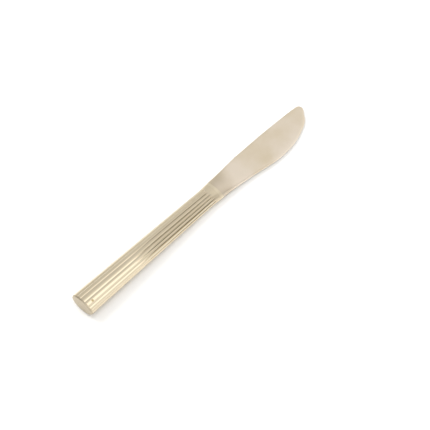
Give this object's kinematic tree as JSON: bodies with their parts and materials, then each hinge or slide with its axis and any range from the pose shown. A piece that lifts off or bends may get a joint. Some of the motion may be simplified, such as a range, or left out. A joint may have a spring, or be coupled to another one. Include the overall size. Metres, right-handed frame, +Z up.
{
  "type": "table knife",
  "caption": "Table knife in pale gold stainless steel: a hollow tapered handle with reeded half shells, a plain front band and a satin round-tipped blade, lying on its side.",
  "frame": {"origin": "on the table, under the middle of the bounding box of the knife as it lies", "axes": "+X from the butt to the tip, +Y from the cutting edge to the spine, +Z up from the table"},
  "size_m": [0.2251, 0.0234, 0.0126],
  "materials": {
    "blade_steel": "satin champagne gold coating on stainless steel",
    "handle_steel": "polished champagne gold coating on stainless steel",
    "cap_steel": "satin champagne gold coating on stainless steel",
    "cement": "matt cement, hidden inside the handle",
    "solder": "dull hard solder"
  },
  "bodies": {
    "root": {"blade": "blade_steel", "front_collar": "handle_steel", "handle_shell_upper": "handle_steel", "handle_shell_lower": "handle_steel", "butt_cap": "cap_steel", "tang_cement": "cement", "vent_plug": "solder"}
  },
  "joints": []
}
